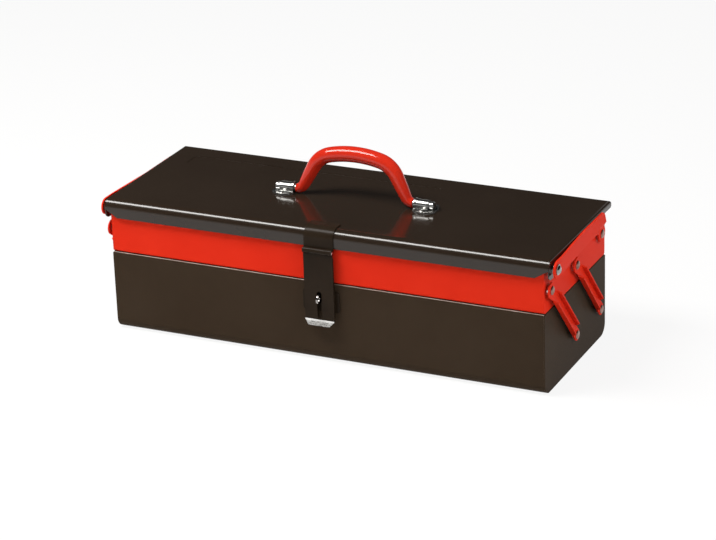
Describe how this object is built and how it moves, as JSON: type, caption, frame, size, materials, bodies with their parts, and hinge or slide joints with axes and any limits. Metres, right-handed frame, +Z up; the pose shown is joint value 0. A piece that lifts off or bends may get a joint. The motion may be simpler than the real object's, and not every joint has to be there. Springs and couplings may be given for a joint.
{
  "type": "cantilever tool box",
  "caption": "Steel cantilever tool box: open base, full-depth tray on parallel swing arms, hinged lid with a folding handle, and a hasp that takes a padlock.",
  "frame": {"origin": "centre of the base's underside, on the surface that the box stands on", "axes": "+X to the right along the box's length, -Y towards the hasp at the front, +Z up"},
  "size_m": [0.5022, 0.184, 0.1987],
  "materials": {
    "box_paint": "satin stoved enamel, warm brown-grey",
    "lid_paint": "glossy stoved enamel, dark brown-grey",
    "red_paint": "semi-gloss red enamel",
    "zinc": "bright zinc plate",
    "rod_steel": "bright drawn steel rod",
    "grip_vinyl": "dipped soft red vinyl"
  },
  "bodies": {
    "base": {"base_shell": "box_paint", "base_end_left": "box_paint", "base_end_right": "box_paint", "base_bushes": "zinc", "base_rivets": "zinc", "catch_plate": "box_paint", "catch_staple": "zinc", "catch_rivets": "zinc"},
    "front_arms": {"front_arm_left": "red_paint", "front_arm_right": "red_paint"},
    "rear_arms": {"rear_arm_left": "red_paint", "rear_arm_right": "red_paint"},
    "tray": {"tray_shell": "red_paint", "tray_end_left": "red_paint", "tray_end_right": "red_paint", "tray_divider": "red_paint", "tray_bushes": "zinc", "tray_rivets": "zinc", "lid_hinge_bushes": "zinc", "lid_hinge_rivets": "zinc"},
    "lid": {"lid_shell": "lid_paint", "lid_arm_left": "red_paint", "lid_arm_right": "red_paint", "lid_arm_bushes": "zinc", "lid_arm_bolts": "zinc", "lid_arm_nuts": "zinc", "handle_plate_left": "zinc", "handle_plate_right": "zinc", "handle_saddle_left": "zinc", "handle_saddle_right": "zinc", "saddle_rivets": "zinc", "hasp_bracket": "lid_paint", "hasp_pin": "zinc"},
    "handle": {"handle_bar": "rod_steel", "handle_grip": "grip_vinyl"},
    "hasp": {"hasp_plate": "lid_paint", "hasp_lip": "zinc"}
  },
  "joints": [
    {"name": "front_arm_swing", "type": "hinge", "parent": "base", "child": "front_arms", "pos_m": [0, -0.008, 0.0355], "axis": [-1, 0, 0], "range_deg": [0, 84]},
    {"name": "rear_arm_swing", "type": "hinge", "parent": "base", "child": "rear_arms", "pos_m": [0, 0.0605, 0.0355], "axis": [-1, 0, 0], "range_deg": [0, 84]},
    {"name": "tray_level", "type": "hinge", "parent": "front_arms", "child": "tray", "pos_m": [0, -0.0755, 0.1095], "axis": [1, 0, 0], "range_deg": [0, 84]},
    {"name": "lid_hinge", "type": "hinge", "parent": "tray", "child": "lid", "pos_m": [0, 0.065, 0.1155], "axis": [-1, 0, 0], "range_deg": [0, 96]},
    {"name": "hasp_swing", "type": "hinge", "parent": "lid", "child": "hasp", "pos_m": [0, -0.0896, 0.1215], "axis": [-1, 0, 0], "range_deg": [0, 170]},
    {"name": "handle_fold", "type": "hinge", "parent": "lid", "child": "handle", "pos_m": [0, 0, 0.14828], "axis": [1, 0, 0], "range_deg": [-74, 86]}
  ],
  "couplings": [
    {"joint": "rear_arm_swing", "follows": "front_arm_swing", "ratio": 1},
    {"joint": "tray_level", "follows": "front_arm_swing", "ratio": 1},
    {"joint": "hasp_swing", "follows": "front_arm_swing", "ratio": 2}
  ]
}
